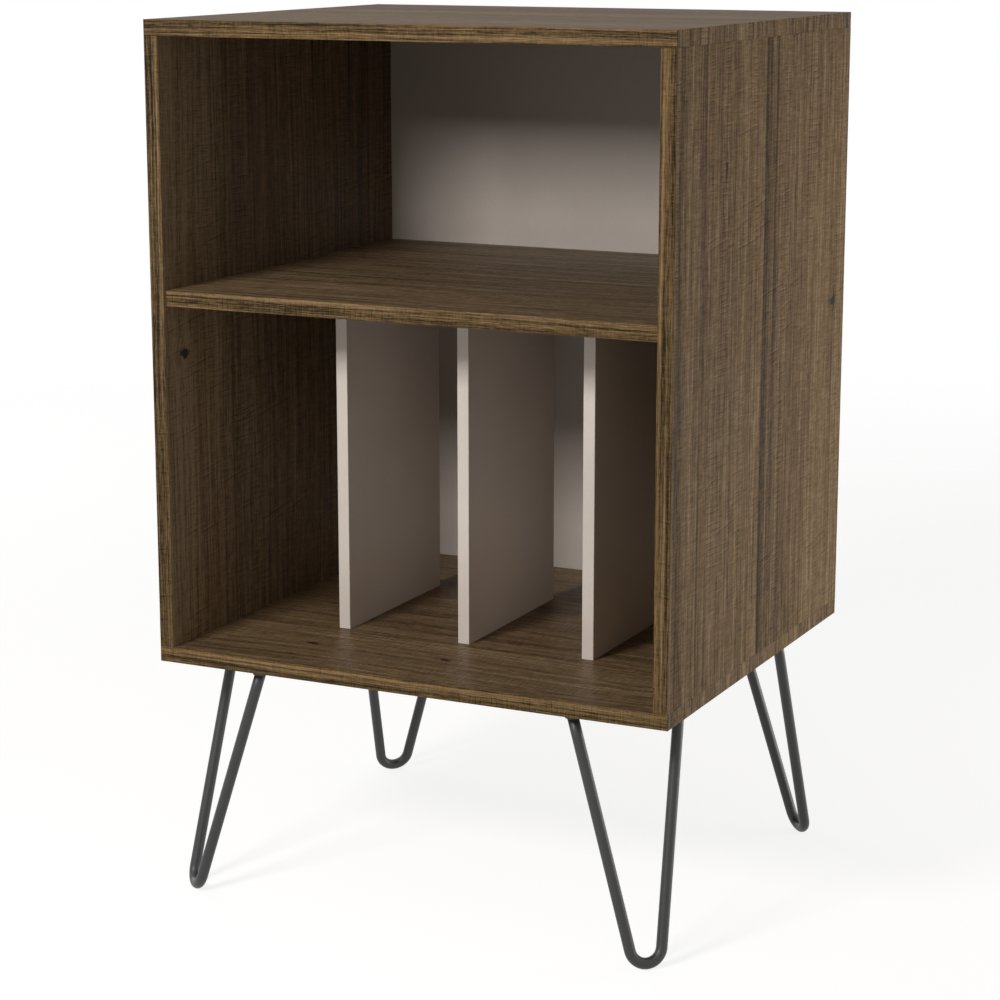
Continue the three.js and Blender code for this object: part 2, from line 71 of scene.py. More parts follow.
# hairpin legs, as the solids have them
LEG_HEIGHT = 234 * MM
ROD = 10.7 * MM
ROD_SPREAD = 106.6 * MM
BEND_RADIUS = 16 * MM
SPLAY = math.radians(14.2)
LEG_INSET_SIDE = 64.5 * MM
LEG_INSET_FRONT = 57 * MM
LEG_INSET_REAR = 65 * MM
ROD_START = 1 * MM             # how far down its shank a rod starts, inside the plate
ROD_SIDES = 40
BEND_STEPS = 36
SHANK_STEPS = 10
WELD_WIDTH = 2.2 * MM
WELD_DROP = 3.6 * MM
WELD_BITE = 0.3 * MM           # how far inside the rod's surface the bead's face ends
WELD_ROOT = 1.5 * MM           # how far inside it the bead's root is
WELD_ROOT_DROP = 2.16 * MM
WELD_RIPPLES = 22
RIPPLE_SWELL = 0.16            # as a share of the bead
RIPPLE_LAG = 2.2               # radians that a ripple trails from the plate to the rod
WELD_STEPS = 132
WELD_LAYERS = 7

PLATE = 2.5 * MM
PLATE_MARGIN = 10 * MM
PLATE_NOSE = 38 * MM
PLATE_HOLE = 4.6 * MM
PLATE_HOLE_SPREAD = 52 * MM
PLATE_HOLE_OFFSET = 9 * MM
PLATE_ROUNDING = 0.35 * MM
PLATE_ROUND_STEPS = 2
PLATE_CORNER_STEPS = 12
HOLE_STEPS = 32
MERGE_DISTANCE = 0.001 * MM

# fastenings, whose own diameters and lengths come from their solids
TURNED_SIDES = 48
SCREW_GAP = 0.3 * MM           # round a countersunk head
SCREW_BORE = 8 * MM
SCREW_RIM = 0.3 * MM
SCREW_RECESS = 2.2 * MM
LOCK_GAP = 0.3 * MM            # round a cam lock, and twice that beyond its end
LOCK_RIM = 0.4 * MM
LOCK_RECESS = 3 * MM
LOCK_RECESS_SHARE = 0.75       # how wide the lock's recess is, against a screw's
PAN_HEIGHT = 2.4 * MM
PAN_CROWN = [(0, 0), (0.55, 0.02), (0.78, 0.25), (0.92, 0.75), (0.985, 1.4), (1, 1.9)]  # radius share, mm
PAN_RECESS = 1.4 * MM
PAN_SHANK = 2 * MM
PAN_TIP = 4 * MM
RECESS_MOUTH = (0.58, 0.13)    # half length and half width of a cross recess, over the head's radius
RECESS_FLOOR = (0.30, 0.06)
RECESS_MARGIN = 0.05 * MM

# nails of the back panel: radius and height in millimetres, where 0 is the panel's outer face
NAIL_DIMPLE = [(0, -0.45), (1.6, -0.45), (2.2, 0.2), (0, 0.2)]
NAIL_HEAD = [(0, -1.4), (0.6, -1.4), (0.6, -0.6), (1.472, -0.5), (1.6, -0.38), (1.376, -0.24),
             (0.8, -0.15), (0, -0.12)]
NAIL_SIDES = 20
NAIL_PITCH = 82 * MM
NAIL_INSET = 5 * MM

# -------- camera and light

CAMERA_PLACE = Vector((1.116, -2.341, 0.944))
CAMERA_YAW = math.radians(25.70)
CAMERA_PITCH = math.radians(12.41)
CAMERA_LENS = 96.31
CAMERA_SENSOR = 36.0
CAMERA_NEAR = 0.05

AMBIENT = 0.24
AMBIENT_COLOUR = (1, 0.99, 0.97, 1)
LIGHTS = {                     # place, the point it faces, width, height, watts, colour
    "key": ((-0.43, -1.71, 1.32), (-0.05, 0, 0.5), 0.42, 0.32, 23, (1, 0.985, 0.965)),
    "right_fill": ((1.35, 0.85, 0.2), (0.25, 0.05, 0.4), 0.9, 0.35, 9.3, (1, 0.97, 0.93)),
    "left_fill": ((-2.5, 1.2, 0.9), (-0.2, 0, 0.45), 1.4, 1.0, 12, (1, 0.98, 0.96)),
}


def srgb(red, green, blue):
    """A linear colour from 8-bit sRGB values."""
    def linear(value):
        part = value / 255
        return part / 12.92 if part <= 0.04045 else ((part + 0.055) / 1.055) ** 2.4
    return (linear(red), linear(green), linear(blue), 1.0)


# -------- shader nodes

class Shader:
    """A material whose nodes are made one at a time, each giving back its output socket."""

    def __init__(self, name):
        self.material = bpy.data.materials.new(name)
        self.material.use_nodes = True
        self.tree = self.material.node_tree
        self.surface = self.tree.nodes["Principled BSDF"]

    def feed(self, socket, value):
        if isinstance(value, bpy.types.NodeSocket):
            self.tree.links.new(value, socket)
        else:
            socket.default_value = value

    def node(self, kind, inputs, **settings):
        made = self.tree.nodes.new(kind)
        for name, value in settings.items():
            setattr(made, name, value)
        for name, value in inputs.items():
            self.feed(made.inputs[name], value)
        return made

    def math(self, operation, first, second=0.0):
        return self.node("ShaderNodeMath", {0: first, 1: second}, operation=operation).outputs[0]

    def add(self, *values):
        total = values[0]
        for value in values[1:]:
            total = self.math("ADD", total, value)
        return total

    def scaled(self, value, factor, centre=0.0):
        """(value - centre) * factor."""
        made = self.node("ShaderNodeMath", {0: value, 1: factor, 2: -centre * factor},
                         operation="MULTIPLY_ADD")
        return made.outputs[0]

    def step(self, value, low, high):
        """0 below low, 1 above high, smooth between. low may be the larger."""
        made = self.node("ShaderNodeMapRange", {"Value": value, "From Min": low, "From Max": high},
                         interpolation_type="SMOOTHSTEP")
        return made.outputs[0]

    def split(self, vector):
        made = self.node("ShaderNodeSeparateXYZ", {0: vector})
        return made.outputs[0], made.outputs[1]

    def join(self, x, y):
        return self.node("ShaderNodeCombineXYZ", {0: x, 1: y}).outputs[0]

    def turned(self, vector, angle):
        return self.node("ShaderNodeMapping", {"Vector": vector, "Rotation": (0, 0, angle)}).outputs[0]

    def length(self, x, y):
        return self.math("SQRT", self.add(self.math("MULTIPLY", x, x), self.math("MULTIPLY", y, y)))

    def noise(self, vector, scale, seed, detail=2.0, roughness=0.5):
        """Noise of 0 to 1. scale is waves per metre, one for all directions or two for X and Y."""
        scale = (scale, scale, scale) if isinstance(scale, (int, float)) else (*scale, 1)
        place = self.node("ShaderNodeMapping", {
            "Vector": vector, "Scale": scale, "Location": (seed * 1.37, seed * 2.11, seed * 3.71)})
        made = self.node("ShaderNodeTexNoise", {
            "Vector": place.outputs[0], "Scale": 1.0, "Detail": detail, "Roughness": roughness})
        return made.outputs[0]

    def cells(self, vector, scale, seed):
        """A random value for each cell of a Voronoi pattern."""
        place = self.node("ShaderNodeMapping", {
            "Vector": vector, "Scale": scale, "Location": (seed, seed, seed)})
        made = self.node("ShaderNodeTexVoronoi", {"Vector": place.outputs[0], "Scale": 1.0})
        return self.split(made.outputs["Color"])[0]

    def ramp(self, value, stops, interpolation="LINEAR"):
        made = self.node("ShaderNodeValToRGB", {0: value})
        ramp = made.color_ramp
        ramp.interpolation = interpolation
        while len(ramp.elements) < len(stops):
            ramp.elements.new(1.0)
        for element, (position, colour) in zip(ramp.elements, stops):
            element.position = position
            element.color = colour
        return made.outputs[0]

    def mix(self, share, first, second, blend="MIX"):
        made = self.tree.nodes.new("ShaderNodeMix")
        made.data_type = "RGBA"
        made.blend_type = blend
        for socket, value in ((0, share), (6, first), (7, second)):    # its factor and its two colours
            self.feed(made.inputs[socket], value)
        return made.outputs[2]

    def finish(self, colour, roughness, height=None, relief=0.1 * MM, metallic=0.0, specular=0.5):
        """Feeds the surface. Relief is the height, in metres, that a height of 1 stands for."""
        self.feed(self.surface.inputs["Base Color"], colour)
        self.feed(self.surface.inputs["Roughness"], roughness)
        self.surface.inputs["Metallic"].default_value = metallic
        self.surface.inputs["Specular IOR Level"].default_value = specular
        if height is not None:
            bump = self.node("ShaderNodeBump", {"Height": height, "Distance": relief, "Strength": 1.0})
            self.feed(self.surface.inputs["Normal"], bump.outputs[0])
        return self.material

    def board_place(self):
        """Place on a board's face in metres: along the grain, then across it."""
        return self.node("ShaderNodeUVMap", {}, uv_map="grain").outputs[0]

    def object_place(self):
        return self.node("ShaderNodeTexCoord", {}).outputs["Object"]


# -------- wood-look laminate

BOARD_TONES = [(0.0, srgb(44, 38, 31)), (0.5, srgb(113, 90, 63)), (1.0, srgb(155, 134, 105))]
BAND_TONES = [(0.0, srgb(38, 33, 22)), (0.5, srgb(105, 84, 57)), (1.0, srgb(145, 119, 85))]
STREAK = srgb(50, 47, 43)
GOLDEN = srgb(255, 250, 228)
ASHEN = srgb(244, 246, 255)
INNER_GLOSS = 0.24
OUTER_GLOSS = 0.03
RIGHT_GLOSS = 0.022
WOOD_RELIEF = 0.10 * MM
RUNG_SLANT = math.radians(-1)
RUNG_PITCH = 5.6 * MM
STROKE_SLANT = math.radians(8)
STROKE_PITCH = 7.5 * MM
BOARD_WIDTH = 0.457
PLANKS = (0.118, 0.236, 0.354)       # joints of the printed planks across a board, where none are given
PLANK_LEVELS = (0.13, 0.71, 0.38, 0.93, 0.55, 0.24)
PLANK_JUMP = 17.0                    # metres of grain that a level of 1 stands for
GRAIN_LAYERS = {      # waves per metre along and across the grain, seed, detail, roughness
    "fibre": (50, 520, 2, 3.0, 0.75),
    "line": (5, 250, 3, 4.0, 0.75),
    "ring": (1.3, 150, 17, 2.0, 0.6),
    "belt": (0.9, 34, 4, 1.0, 0.5),
    "streak": (1.2, 80, 5, 3.0, 0.6),
    "streak_reach": (1.6, 13, 6, 2.0, 0.5),
    "hair": (3.0, 260, 7, 1.0, 0.5),
    "pore": (90, 1500, 8, 1.0, 0.5),
    "warmth": (2.4, 90, 16, 2.0, 0.5),
}


def around_knots(s, place, along, side, knots):
    """Pushes the grain round each knot, and gives how dark the knots make each point.

    A knot is its place along and across in metres, its radius across, and how many times longer it is.
    """
    dark = 0.0
    uneven = s.scaled(s.noise(place, (190, 260), 71, 3.0, 0.6), 1.5, 0.5)
    for knot_along, knot_side, radius, longer in knots:
        run = s.scaled(along, 1 / (radius * longer), knot_along)
        off = s.scaled(side, 1 / radius, knot_side)
        distance = s.length(run, off)
        near = s.step(distance, 4.0, 0.4)
        pull = s.math("MULTIPLY", near, s.scaled(off, -radius * 0.8))
        side = s.add(side, pull)
        ragged = s.add(distance, uneven)
        core = s.scaled(s.step(ragged, 1.1, 0.6), 2.2)
        halo = s.scaled(s.step(ragged, 2.6, 0.9), 0.3)
        dark = s.add(dark, core, halo)
    return side, dark


def plank_shift(s, side, joints, width):
    """A different number for each printed plank, so that the grain breaks off at their joints."""
    stops = [(joint / width, (level, level, level, 1.0))
             for joint, level in zip((0.0, *joints), PLANK_LEVELS)]
    return s.scaled(s.ramp(s.math("DIVIDE", side, width), stops, "CONSTANT"), PLANK_JUMP)


def set_shades(s, side, shades, width):
    """How much lighter or darker than plain each place across a board is."""
    stops = [(place / width, (level, level, level, 1)) for place, level in shades]
    return s.scaled(s.ramp(s.math("DIVIDE", side, width), stops), 1.0, 0.5)


def tinted(s, colour, warmth, hue):
    """The colour, turned golden along some fibres and ashen along others."""
    for low, high, tint in ((0.46, 0.62, GOLDEN), (0.50, 0.36, ASHEN)):
        share = s.scaled(s.step(warmth, low, high), hue)
        colour = s.mix(share, colour, s.mix(1.0, colour, tint, "MULTIPLY"))
    return colour


def walnut(name, seed, tones, across=1.0, wander=9 * MM, shades=None, joints=PLANKS, width=BOARD_WIDTH,
           knots=(), lines=1.0, streaks=0.60, saw=1.0, contrast=1.0, hue=0.2, bend=0.25,
           gloss=INNER_GLOSS, rough=0.52):
    """Dark rustic laminate.

    across makes it finer across the grain, wander is the grain's drift sideways, and streaks is the level
    above which dark streaks show. lines, saw, contrast and hue are the strengths of streaks and hairs, saw
    marks, grain and tints. shades sets a face's tones, and bend is how much of the drift they follow.
    """
    s = Shader(name)
    place = s.board_place()
    along, side = s.split(place)
    drift = s.scaled(s.noise(place, (1.8, 6 * across), seed), wander * 2.6, 0.5)
    ripple = s.scaled(s.noise(place, (13, 26 * across), seed + 1), wander * 0.45, 0.5)
    bent, knot_dark = around_knots(s, place, along, s.add(side, drift, ripple), knots)
    shift = plank_shift(s, side, joints, width)
    grain = s.join(s.add(along, shift), s.add(bent, shift))

    def layer(kind):
        run, rows, own_seed, detail, roughness = GRAIN_LAYERS[kind]
        return s.noise(grain, (run, rows * across), seed + own_seed, detail, roughness)

    fibre, line = layer("fibre"), layer("line")
    reach = s.step(layer("streak_reach"), 0.46, 0.60)
    streak = s.math("MULTIPLY", s.step(layer("streak"), streaks, streaks + 0.09), reach)
    hair = s.step(layer("hair"), 0.66, 0.73)
    pore = s.step(layer("pore"), 0.60, 0.72)
    chatter = s.noise(place, (560, 60 * across), seed + 15, 2.0, 0.7)
    marks = saw_marks(s, place, seed + 9, across)

    tone = s.add(
        0.5,
        s.scaled(fibre, 1.7 * contrast, 0.5),
        s.scaled(line, 2.1 * contrast, 0.5),
        s.scaled(layer("ring"), 0.7 * contrast, 0.5),
        s.scaled(layer("belt"), 0.45 * contrast, 0.5),
        s.scaled(chatter, 0.7 * saw, 0.5),
        s.scaled(marks, 0.20 * saw),
        s.scaled(streak, -0.24 * lines),
        s.scaled(hair, -0.30 * lines),
        s.scaled(pore, -0.10),
        s.scaled(knot_dark, -0.55),
    )
    if shades:
        tone = s.add(tone, set_shades(s, s.add(side, s.scaled(drift, bend)), shades, width))
    colour = tinted(s, s.ramp(tone, tones), layer("warmth"), hue)
    colour = s.mix(s.scaled(streak, 0.28 * lines), colour, STREAK)

    roughness = s.add(rough, s.scaled(line, 0.2, 0.5), s.scaled(pore, 0.12), s.scaled(marks, -0.04))
    height = s.add(s.scaled(marks, 0.7), s.scaled(fibre, 0.9), s.scaled(chatter, 0.25),
                   s.scaled(pore, -0.7), s.scaled(hair, -0.5))
    return s.finish(colour, roughness, height, WOOD_RELIEF, specular=gloss)


def saw_rows(s, place, slant, pitch, seen_by, seed):
    """Thin straight rows across the grain, each a dark cut with a light lip, about -1 to 1.

    Gives them with a noise of each row's own, with seen_by waves per metre, that says where it shows.
    """
    along, side = s.split(s.turned(place, slant))
    row = s.add(s.scaled(along, 1 / pitch), s.scaled(s.noise(place, (4, 6), seed), 1.6, 0.5))
    number = s.math("FLOOR", row)
    part = s.math("SUBTRACT", row, number)
    cut_line = s.step(s.math("ABSOLUTE", s.math("SUBTRACT", part, 0.38)), 0.15, 0.04)
    lip = s.step(s.math("ABSOLUTE", s.math("SUBTRACT", part, 0.60)), 0.15, 0.04)
    own = s.noise(s.join(s.scaled(number, 5.17), side), (1, seen_by), seed + 1)
    return s.math("SUBTRACT", s.scaled(lip, 0.6), cut_line), own


def saw_marks(s, place, seed, across):
    """Saw marks: short rungs in strips along the grain, and some long slanted strokes. About -1 to 1."""
    rungs, rung_own = saw_rows(s, place, RUNG_SLANT, RUNG_PITCH, 30 * across, seed)
    strip = s.step(s.noise(place, (3.0, 38 * across), seed + 2, 1.0), 0.52, 0.64)
    rungs = s.math("MULTIPLY", rungs, s.math("MULTIPLY", strip, s.step(rung_own, 0.36, 0.60)))
    strokes, stroke_own = saw_rows(s, place, STROKE_SLANT, STROKE_PITCH, 12 * across, seed + 3)
    field = s.step(s.noise(place, (5, 8 * across), seed + 5), 0.46, 0.62)
    strokes = s.math("MULTIPLY", strokes, s.math("MULTIPLY", field, s.step(stroke_own, 0.54, 0.62)))
    return s.add(rungs, strokes)


# -------- other materials

def pale_laminate(name, dark, light):
    s = Shader(name)
    place = s.object_place()
    cloud = s.noise(place, 9, 1)
    grit = s.noise(place, 900, 2)
    peel = s.noise(place, 420, 3)
    colour = s.ramp(s.add(s.scaled(cloud, 0.6), s.scaled(grit, 0.4)), [(0.3, dark), (0.7, light)])
    roughness = s.add(0.42, s.scaled(cloud, 0.12, 0.5), s.scaled(peel, 0.10, 0.5))
    return s.finish(colour, roughness, s.add(peel, s.scaled(grit, 0.4)), relief=0.05 * MM)


def raw_chipboard():
    s = Shader("raw_chipboard")
    place = s.object_place()
    chips = s.cells(place, (420, 420, 900), 3)
    dust = s.noise(place, 1400, 4)
    colour = s.ramp(s.add(s.scaled(chips, 0.65), s.scaled(dust, 0.35)), [
        (0.15, srgb(96, 72, 48)), (0.4, srgb(142, 113, 80)), (0.65, srgb(171, 142, 104)),
        (0.9, srgb(196, 170, 132))])
    return s.finish(colour, 0.85, s.add(s.scaled(chips, 0.6), dust), relief=0.25 * MM, specular=0.3)


def raw_hardboard():
    s = Shader("raw_hardboard")
    place = s.object_place()
    cloud = s.noise(place, 22, 5, 4.0, 0.6)
    fibre = s.noise(place, 260, 6, 5.0, 0.75)
    speck = s.step(s.noise(place, 330, 7, 1.0), 0.66, 0.74)
    tone = s.add(0.5, s.scaled(cloud, 0.5, 0.5), s.scaled(fibre, 1.3, 0.5))
    colour = s.ramp(tone, [(0.2, srgb(92, 66, 43)), (0.5, srgb(128, 96, 66)), (0.8, srgb(160, 126, 91))])
    colour = s.mix(s.scaled(speck, 0.55), colour, srgb(66, 47, 32))
    roughness = s.add(0.68, s.scaled(fibre, 0.2, 0.5))
    return s.finish(colour, roughness, fibre, relief=0.12 * MM, specular=0.4)


def leg_paint():
    s = Shader("leg_paint")
    place = s.object_place()
    peel = s.noise(place, 620, 8)
    cloud = s.noise(place, 40, 9)
    colour = s.ramp(s.add(s.scaled(cloud, 0.6), s.scaled(peel, 0.4)),
                    [(0.3, srgb(46, 46, 47)), (0.7, srgb(56, 56, 57))])
    roughness = s.add(0.44, s.scaled(cloud, 0.10, 0.5), s.scaled(peel, 0.08, 0.5))
    return s.finish(colour, roughness, peel, relief=0.10 * MM)


def zinc():
    s = Shader("zinc")
    place = s.object_place()
    cloud = s.noise(place, 260, 10)
    grit = s.noise(place, 2200, 11)
    colour = s.ramp(cloud, [(0.3, srgb(176, 178, 182)), (0.5, srgb(196, 198, 200)),
                            (0.7, srgb(206, 203, 192))])
    roughness = s.add(0.26, s.scaled(cloud, 0.2, 0.5), s.scaled(grit, 0.15, 0.5))
    return s.finish(colour, roughness, grit, relief=0.02 * MM, metallic=1.0)


def beech():
    s = Shader("beech")
    place = s.object_place()
    fleck = s.noise(place, 500, 12, 3.0)
    cloud = s.noise(place, 60, 13)
    colour = s.ramp(s.add(s.scaled(fleck, 0.6), s.scaled(cloud, 0.4)),
                    [(0.3, srgb(188, 150, 104)), (0.7, srgb(216, 182, 138))])
    return s.finish(colour, 0.75, fleck, relief=0.08 * MM)


# Tones of the faces whose pattern is set, as (metres across, tone): printed planks and dark streaks, and
# on the left inner face painted shade as well.
# Boards count from their front edge, and edge bands from a long edge.
RIGHT_SIDE_SHADES = [
    (0.000, 0.54), (0.012, 0.32), (0.032, 0.53), (0.059, 0.55),
    (0.061, 0.20), (0.064, 0.44), (0.112, 0.54), (0.219, 0.60),
    (0.221, 0.00), (0.229, 0.16), (0.238, 0.44), (0.246, 0.46), (0.249, 0.10), (0.253, 0.44),
    (0.270, 0.50), (0.274, 0.34), (0.280, 0.52), (0.336, 0.47), (0.341, 0.32), (0.348, 0.52),
    (0.355, 0.50), (0.358, 0.62), (0.457, 0.58),
]
BAND_SHADES = [
    (0.0000, 0.46), (0.0030, 0.34), (0.0062, 0.36), (0.0086, 0.52), (0.0105, 0.56), (0.0118, 0.64),
    (0.0132, 0.60), (0.0140, 0.40), (0.0150, 0.50),
]
RIGHT_SIDE_JOINTS = (0.061, 0.148, 0.221, 0.356)
RIGHT_SIDE_KNOTS = [(0.316, 0.421, 5.0 * MM, 0.8), (0.472, 0.121, 2.6 * MM, 3.0)]
FLOOR_SHADES = [
    (0.000, 0.36), (0.012, 0.40), (0.040, 0.50), (0.090, 0.56), (0.121, 0.56), (0.123, 0.66),
    (0.1245, 0.40), (0.130, 0.50), (0.180, 0.46), (0.260, 0.44), (0.330, 0.50), (0.457, 0.48),
]
FLOOR_JOINTS = (0.123, 0.260)
FLOOR_KNOTS = [(0.127, 0.073, 3.4 * MM, 1.8), (0.270, 0.075, 3.2 * MM, 1.6)]
# Left side's inner face: printed plank joints, with tones falling from front to rear, partly plank tone
# and partly painted shade deeper in the bay.
LEFT_INNER_PLANKS_AND_PAINTED_SHADE = [
    (0.000, 0.72), (0.094, 0.66), (0.096, 0.60), (0.234, 0.49), (0.236, 0.53), (0.404, 0.37),
    (0.406, 0.42), (0.457, 0.38),
]
LEFT_INNER_JOINTS = (0.095, 0.235, 0.405)
LEFT_INNER_KNOTS = [(0.283, 0.034, 7.5 * MM, 0.65)]


def make_materials():
    return {
        "walnut": walnut("walnut_laminate", 3, BOARD_TONES),
        "walnut_outer": walnut("walnut_outer", 5, BOARD_TONES, lines=0.7, saw=0.8, contrast=0.78,
                               gloss=OUTER_GLOSS),
        "walnut_right": walnut("walnut_right_side", 17, BOARD_TONES, shades=RIGHT_SIDE_SHADES,
                               joints=RIGHT_SIDE_JOINTS, knots=RIGHT_SIDE_KNOTS, lines=0.6,
                               wander=5 * MM, saw=1.1, contrast=0.80, hue=0.1, bend=0.0,
                               gloss=RIGHT_GLOSS),
        # Painted shade: this face's tones darken towards the rear of the bay.
        "walnut_left_inner": walnut("walnut_left_inner", 29, BOARD_TONES, shades=LEFT_INNER_PLANKS_AND_PAINTED_SHADE,
                                    joints=LEFT_INNER_JOINTS, knots=LEFT_INNER_KNOTS, bend=0.0,
                                    contrast=0.85, gloss=0.34),
        "walnut_floor": walnut("walnut_bay_floor", 43, BOARD_TONES, shades=FLOOR_SHADES,
                               joints=FLOOR_JOINTS, knots=FLOOR_KNOTS, wander=16 * MM,
                               contrast=0.75, saw=0.8, lines=0.9, bend=0.0, gloss=0.14, rough=0.40),
        "band": walnut("walnut_edge_band", 53, BAND_TONES, across=2.0, wander=4 * MM, joints=(),
                       shades=BAND_SHADES, width=0.016, bend=1.0, streaks=0.54, lines=1.5,
                       saw=0.8, contrast=1.15, hue=0.4, gloss=OUTER_GLOSS),
        "end_band": walnut("walnut_end_band", 61, BOARD_TONES, wander=3 * MM, gloss=OUTER_GLOSS),
        "pale": pale_laminate("pale_laminate", srgb(211, 200, 190), srgb(226, 215, 206)),
        "pale_back": pale_laminate("pale_back_laminate", srgb(178, 167, 158), srgb(192, 182, 173)),
        "chipboard": raw_chipboard(),
        "hardboard": raw_hardboard(),
        "leg_paint": leg_paint(),
        "zinc": zinc(),
        "beech": beech(),
    }


MATERIALS = make_materials()


# -------- pieces

def new_object(name, data):
    made = bpy.data.objects.new(name, data)
    bpy.context.scene.collection.objects.link(made)
    return made


def add_piece(name, mesh, slot, materials, replaces=()):
    for material in materials:
        mesh.materials.append(MATERIALS[material])
    piece = new_object(name, mesh)
    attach(piece, "root")
    if replaces:
        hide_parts(*replaces)


def to_mesh(bm, name, smooth=False):
    bmesh.ops.recalc_face_normals(bm, faces=bm.faces)
    mesh = bpy.data.meshes.new(name)
    bm.to_mesh(mesh)
    bm.free()
    mesh.polygons.foreach_set("use_smooth", [smooth] * len(mesh.polygons))
    return mesh


def applied(holder):
    """An object's mesh with its curve settings and modifiers applied."""
    bpy.context.view_layer.update()
    return bpy.data.meshes.new_from_object(holder.evaluated_get(bpy.context.evaluated_depsgraph_get()))


def cut(mesh, cutter):
    """The mesh with the closed cutter mesh taken out of it."""
    body = new_object("cut_body", mesh)
    tool = new_object("cut_tool", cutter)
    boolean = body.modifiers.new("cut", "BOOLEAN")
    boolean.operation = "DIFFERENCE"
    boolean.solver = "EXACT"
    boolean.use_self = True
    boolean.object = tool
    result = applied(body)
    for made in (body, tool):
        bpy.data.objects.remove(made)
    result.name = mesh.name
    return result


def box_mesh(low, high, name, rounded=None):
    """A box with small rounded edges. rounded(edge middle) gives each edge's rounding."""
    size = high - low
    bm = bmesh.new()
    bmesh.ops.create_cube(bm, size=1.0)
    bmesh.ops.scale(bm, vec=size, verts=bm.verts)
    bmesh.ops.translate(bm, vec=(low + high) / 2, verts=bm.verts)
    groups = {}
    for edge in bm.edges:
        middle = (edge.verts[0].co + edge.verts[1].co) / 2
        groups.setdefault(rounded(middle) if rounded else SEAM, []).append(edge)
    for radius, edges in sorted(groups.items(), reverse=True):
        edges = [edge for edge in edges if edge.is_valid]
        bmesh.ops.bevel(bm, geom=edges, offset=radius, segments=ROUND_STEPS, profile=0.5,
                        affect="EDGES", clamp_overlap=True)
    return to_mesh(bm, name)


def face_of(normal):
    """The box face that a normal points out of, such as -y."""
    axis = max(range(3), key=lambda index: abs(normal[index]))
    return ("+" if normal[axis] > 0 else "-") + "xyz"[axis]


def lay_grain(mesh, low, high, grain, offsets, shift, mirrored=False):
    """Writes each corner's place along and across the grain, in metres from the box's low corner.

    offsets gives a face's own start; the rest start far apart. A mirrored face counts from its high side.
    """
    layer = mesh.uv_layers.new(name="grain")
    for polygon in mesh.polygons:
        face = face_of(polygon.normal)
        across_faces = [axis for axis in "xyz" if axis != face[1]]
        along = grain if grain in across_faces else max(
            across_faces, key=lambda axis: (high - low)["xyz".index(axis)])
        side = next(axis for axis in across_faces if axis != along)
        a, b = "xyz".index(along), "xyz".index(side)
        start = shift + FACE_STEP * ("-+".index(face[0]) + 2 * "xyz".index(face[1]))
        along_start, side_start = offsets.get(face, (start, start))
        for loop in polygon.loop_indices:
            corner = mesh.vertices[mesh.loops[loop].vertex_index].co
            across_place = (high - corner if mirrored else corner - low)[b]
            layer.data[loop].uv = ((corner - low)[a] + along_start, across_place + side_start)


def board_mesh(name, low, high, grain, faces, shift, rounded=None, offsets=None, mirrored=False):
    """A board with a material for each face. faces gives material numbers; the rest take number 0."""
    mesh = box_mesh(low, high, name, rounded)
    lay_grain(mesh, low, high, grain, offsets or {}, shift, mirrored)
    for polygon in mesh.polygons:
        polygon.material_index = faces.get(face_of(polygon.normal), 0)
    return mesh


BAND_SIDES = {"front": (1, -1), "left": (0, -1), "right": (0, 1), "rear": (1, 1)}
BAND_SLOTS = {"band": "walnut_laminate", "end_band": "walnut_laminate", "pale": "pale_laminate"}


def add_bands(node, low, high, sides, material, shift, mirrored=False):
    """Bands on a board's edges. Gives back the box that is left for the board between them.

    A front band's pattern starts at the board's low side, or at its high side where mirrored.
    """
    low, high = low.copy(), high.copy()
    for index, side in enumerate(sides):
        axis, sign = BAND_SIDES[side]
        band_low, band_high = low.copy(), high.copy()
        if sign < 0:
            outside = low[axis]
            low[axis] = band_high[axis] = outside + BAND
        else:
            outside = high[axis]
            high[axis] = band_low[axis] = outside - BAND

        def rounded(middle):
            return ARRIS if abs(middle[axis] - outside) < BAND / 4 else SEAM / 3

        size = band_high - band_low
        grain = "xyz"[max(range(3), key=lambda number: size[number])]
        if material == "end_band":
            grain = "z"
        start = shift + BAND_STEP * index
        mesh = board_mesh(f"{node}_{side}_band", band_low, band_high, grain, {}, start, rounded,
                          offsets={"-y": (start, 0.0)}, mirrored=mirrored)
        add_piece(f"{node}_{side}_band", mesh, BAND_SLOTS[material], [material])
    return low, high


def in_mm(profile):
    return [(radius * MM, height * MM) for radius, height in profile]


def cone_stack(places, profile, sides=TURNED_SIDES):
    """Closed bodies turned about +Z at each place, from [radius, height] pairs listed upwards."""
    bm = bmesh.new()
    for place in places:
        rings = []
        for radius, height in profile:
            centre = place + Vector((0, 0, height))
            if radius == 0:
                rings.append([bm.verts.new(centre)])
                continue
            rings.append([
                bm.verts.new(centre + Vector((radius * math.cos(turn), radius * math.sin(turn), 0)))
                for turn in (2 * math.pi * number / sides for number in range(sides))])
        for lower, upper in zip(rings, rings[1:]):
            for number in range(sides):
                after = (number + 1) % sides
                corners = [lower[number % len(lower)], lower[after % len(lower)],
                           upper[after % len(upper)], upper[number % len(upper)]]
                unique = list(dict.fromkeys(corners))
                if len(unique) > 2:
                    bm.faces.new(unique)
    return bm


def node_foot(node):
    """The lowest middle point of a node."""
    low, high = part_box(node)
    return Vector(((low.x + high.x) / 2, (low.y + high.y) / 2, low.z))


def matching(word):
    return sorted(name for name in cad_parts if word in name)


# -------- boards

def add_top_panel():
    low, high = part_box("top_panel")
    low, high = add_bands("top_panel", low, high, ["front"], "band", GRAIN_START["top_front"], True)
    low, high = add_bands("top_panel", low, high, ["left", "right"], "end_band", GRAIN_START["top_ends"])
    mesh = board_mesh("top_board", low, high, "x", {"+y": 1, "+z": 2}, GRAIN_START["top_board"])
    add_piece("top_board", mesh, "walnut_laminate", ["walnut", "chipboard", "walnut_outer"], ["top_panel"])


